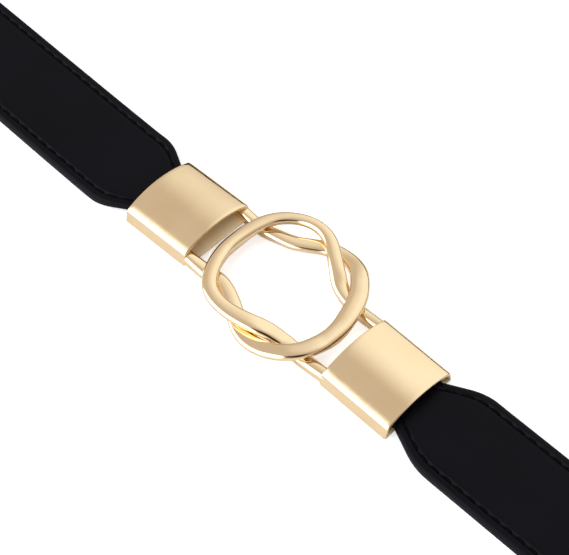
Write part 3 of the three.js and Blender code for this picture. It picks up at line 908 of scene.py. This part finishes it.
def gold_material():
    """Bright plated metal; the insides of the sleeves, marked by the band map, are left unpolished."""
    sh = Shader("gold")
    where = sh.place()
    depth, _ = sh.band()
    inside = sh.remap(depth, *UNPOLISHED_EDGE, 0.0, 1.0)
    plating = sh.tones(sh.noise(where, 90.0), 0.35, 0.65, PLATING_TONES)
    raw = sh.tones(sh.noise(where, 420.0, 4.0), 0.3, 0.7, UNPOLISHED_TONES)
    mixed = sh.node("Mix", {"Factor": inside, MIX_A: plating, MIX_B: raw}, data_type="RGBA")
    sh.link(mixed.outputs[MIX_RESULT], sh.bsdf.inputs["Base Color"])
    haze = sh.remap(sh.noise(where, 700.0, 4.0, 0.6), 0.3, 0.7, *PLATING_ROUGHNESS)
    sh.link(sh.math("MULTIPLY_ADD", inside, UNPOLISHED_HAZE, haze), sh.bsdf.inputs["Roughness"])
    sh.link(sh.remap(inside, 0.0, 1.0, 1.0, UNPOLISHED_METALLIC), sh.bsdf.inputs["Metallic"])
    waves = sh.noise(where, 260.0, 2.0)
    sh.link(sh.bump(waves, 0.00004, 0.5), sh.bsdf.inputs["Normal"])
    return sh.material


def leather_material():
    """Smooth black leather with a fine grain over slow soft waves."""
    sh = Shader("leather")
    where = sh.place()
    cloud = sh.noise(where, 60.0)
    sh.link(sh.tones(cloud, 0.3, 0.7, LEATHER_TONES), sh.bsdf.inputs["Base Color"])
    cells = sh.node("TexVoronoi", {"Vector": where, "Scale": 2600.0}, feature="SMOOTH_F1")
    grain = sh.math("MULTIPLY", cells.outputs["Distance"], 0.7)
    fine = sh.math("MULTIPLY", sh.noise(where, 5200.0), 0.5)
    normal = sh.bump(sh.math("ADD", grain, fine), 0.00006, 0.55)
    normal = sh.bump(sh.noise(where, 140.0, 2.0), 0.0004, 0.25, normal)
    sh.link(normal, sh.bsdf.inputs["Normal"])
    sh.link(sh.remap(cloud, 0.3, 0.7, *LEATHER_ROUGHNESS), sh.bsdf.inputs["Roughness"])
    sh.set(Specular_IOR_Level=LEATHER_SPECULAR)
    return sh.material


def thread_material():
    """Black sewing thread, whose twist winds round it along the band map; its colour is darker in the
    hollows of the twist, a painted shade.
    """
    sh = Shader("thread")
    along, around = sh.band()
    wound = sh.math("MULTIPLY", along, THREAD_TWIST)
    turn = sh.math("MULTIPLY", around, 2 * math.pi)
    twist = sh.math("SINE", sh.math("ADD", wound, turn))
    # Darker where the twist sinks and lighter on its crests: painted shade in the hollows.
    colour = sh.tones(sh.remap(twist, -1.0, 1.0, 0.0, 1.0), 0.0, 1.0, THREAD_PAINTED_SHADE_TONES)
    sh.link(colour, sh.bsdf.inputs["Base Color"])
    sh.link(sh.bump(twist, 0.00008, 0.6), sh.bsdf.inputs["Normal"])
    sh.set(Roughness=THREAD_ROUGHNESS, Specular_IOR_Level=THREAD_SPECULAR)
    return sh.material


def elastic_material():
    """Matt black knit: slanting loops along each rib, half a loop apart from rib to rib, and some fuzz;
    its colour is darker in the hollows between the loops, a painted shade.
    """
    sh = Shader("elastic")
    along, across = sh.band()
    rib = (STRAP_WIDTH - 2 * ELASTIC_EDGE) / RIBS
    place = sh.math("DIVIDE", sh.math("SUBTRACT", across, ELASTIC_EDGE), rib)
    offset = sh.math("MULTIPLY", sh.math("FLOOR", place), math.pi)
    phase = sh.math("MULTIPLY_ADD", sh.math("FRACT", place), KNIT_SLANT, offset)
    loops = sh.math("SINE", sh.math("MULTIPLY_ADD", along, 2 * math.pi / KNIT_PITCH, phase))
    # Darker between the loops and lighter on their crests: painted shade in the hollows.
    colour = sh.tones(sh.remap(loops, -1.0, 1.0, 0.0, 1.0), 0.0, 1.0, ELASTIC_PAINTED_SHADE_TONES)
    sh.link(colour, sh.bsdf.inputs["Base Color"])
    fuzz = sh.noise(sh.place(), 9000.0, 2.0)
    height = sh.math("MULTIPLY_ADD", fuzz, KNIT_FUZZ, loops)
    sh.link(sh.bump(height, 0.00007, 0.8), sh.bsdf.inputs["Normal"])
    sh.set(
        Roughness=ELASTIC_ROUGHNESS,
        Specular_IOR_Level=ELASTIC_SPECULAR,
        Sheen_Weight=ELASTIC_SHEEN,
        Sheen_Roughness=ELASTIC_SHEEN_ROUGHNESS,
    )
    return sh.material


# Floor, light and camera

# Light of the dim room, and wide soft patches of light in it (or of shade, where negative): the
# direction of each, the angles in degrees inside which it is full and outside which it is gone, and
# its red, green and blue
ROOM_LIGHT = (0.66, 0.61, 0.57)
LIGHT_PATCHES = [
    ((0.1, 0.75, 0.55), 22, 54, (0.46, 0.53, 0.55)),
    ((-0.356, -0.865, 0.356), 36, 47, (2.0, 2.2, 2.4)),
    ((0.405, -0.41, 0.818), 15, 27, (-0.54, -0.51, -0.48)),
    ((0.9, 0.1, 0.45), 15, 60, (-0.16, -0.17, -0.18)),
]
LEAST_LIGHT = (0.02, 0.02, 0.02)

# The photo's camera, solved from the edges of the buckle and the straps: its lens on its sensor, its
# place in the drawing frame, and the directions of the picture's right side, of its foot and of the view
CAMERA_LENS = 119.036
CAMERA_SENSOR = 36.0
CAMERA_CLIP = (0.01, 50.0)
CAMERA_PLACE = np.array([174.517, -176.746, 360.896])
CAMERA_RIGHT = np.array([0.71080691, 0.70338667, 0.00084927])
CAMERA_DOWN = np.array([0.57536521, -0.58073953, -0.57593096])
CAMERA_FORWARD = np.array([-0.40460896, 0.40986435, -0.8174979])


def make_floor():
    """The white table top that the belt lies on."""
    mesh = bpy.data.meshes.new("floor")
    corners = [(-1, -1), (1, -1), (1, 1), (-1, 1)]
    mesh.from_pydata([(x * FLOOR_REACH, y * FLOOR_REACH, 0) for x, y in corners], [], [(0, 1, 2, 3)])
    sh = Shader("floor")
    tone = sh.tones(sh.noise(sh.place(), 3.0), 0.3, 0.7, FLOOR_TONES)
    sh.link(tone, sh.bsdf.inputs["Base Color"])
    sh.set(Roughness=FLOOR_ROUGHNESS, Emission_Color=(1, 1, 1, 1))
    seen = sh.node("LightPath").outputs["Is Camera Ray"]
    sh.link(sh.math("MULTIPLY", seen, FLOOR_GLOW), sh.bsdf.inputs["Emission Strength"])
    mesh.materials.append(sh.material)
    floor = bpy.data.objects.new("floor", mesh)
    bpy.context.scene.collection.objects.link(floor)


def make_world():
    """Soft studio light from all round: a dim warm room with a few wide soft patches of light."""
    world = bpy.data.worlds.new("studio")
    bpy.context.scene.world = world
    world.use_nodes = True
    tree = world.node_tree
    tree.nodes.clear()

    def node(kind, **settings):
        made = tree.nodes.new("ShaderNode" + kind)
        for key, value in settings.items():
            setattr(made, key, value)
        return made

    out = node("OutputWorld")
    back = node("Background")
    tree.links.new(back.outputs[0], out.inputs[0])
    direction = node("TexCoord").outputs["Generated"]
    total = None
    for towards, inner, outer, colour in LIGHT_PATCHES:
        dot = node("VectorMath", operation="DOT_PRODUCT")
        tree.links.new(direction, dot.inputs[0])
        dot.inputs[1].default_value = tuple(unit(np.array(towards)))
        fade = node("MapRange", interpolation_type="SMOOTHSTEP")
        tree.links.new(dot.outputs["Value"], fade.inputs["Value"])
        fade.inputs["From Min"].default_value = math.cos(math.radians(outer))
        fade.inputs["From Max"].default_value = math.cos(math.radians(inner))
        tint = node("VectorMath", operation="SCALE")
        tint.inputs[0].default_value = colour
        tree.links.new(fade.outputs["Result"], tint.inputs["Scale"])
        add = node("VectorMath", operation="ADD")
        if total is None:
            add.inputs[0].default_value = ROOM_LIGHT
        else:
            tree.links.new(total, add.inputs[0])
        tree.links.new(tint.outputs[0], add.inputs[1])
        total = add.outputs[0]
    kept_up = node("VectorMath", operation="MAXIMUM")
    tree.links.new(total, kept_up.inputs[0])
    kept_up.inputs[1].default_value = LEAST_LIGHT
    tree.links.new(kept_up.outputs[0], back.inputs["Color"])
    back.inputs["Strength"].default_value = 1.0


def make_camera():
    """The camera that took the photo."""
    data = bpy.data.cameras.new("camera")
    data.sensor_width = CAMERA_SENSOR
    data.lens = CAMERA_LENS
    data.clip_start, data.clip_end = CAMERA_CLIP
    camera = bpy.data.objects.new("camera", data)
    bpy.context.scene.collection.objects.link(camera)
    place = (CAMERA_PLACE + BELT_SHIFT) * MM
    matrix = Matrix.Identity(4)
    for row in range(3):
        matrix[row][0] = CAMERA_RIGHT[row]
        matrix[row][1] = -CAMERA_DOWN[row]
        matrix[row][2] = -CAMERA_FORWARD[row]
        matrix[row][3] = place[row]
    camera.matrix_world = matrix
    bpy.context.scene.camera = camera


# The belt on its table

GOLD = gold_material()
LEATHER = leather_material()
SEWING_THREAD = thread_material()
ELASTIC = elastic_material()

for side, half, loop in (("left", LEFT, LEFT_LOOP), ("right", RIGHT, RIGHT_LOOP)):
    buckle = Builder()
    add_sleeve(buckle, half)
    add_lip(buckle, half)
    add_rod(buckle, half, loop)
    buckle.make("gold_" + side, GOLD, ["buckle_" + side])
    strap = Builder()
    add_strap(strap, half)
    strap.make("leather_" + side, LEATHER, ["strap_" + side])
    stitches = Builder()
    add_stitches(stitches, half)
    stitches.make("stitches_" + side, SEWING_THREAD)

band = Builder()
add_elastic(band)
band.make("knitted_elastic", ELASTIC, ["elastic_band"])

make_floor()
make_world()
make_camera()
bpy.context.scene.view_settings.view_transform = "Standard"
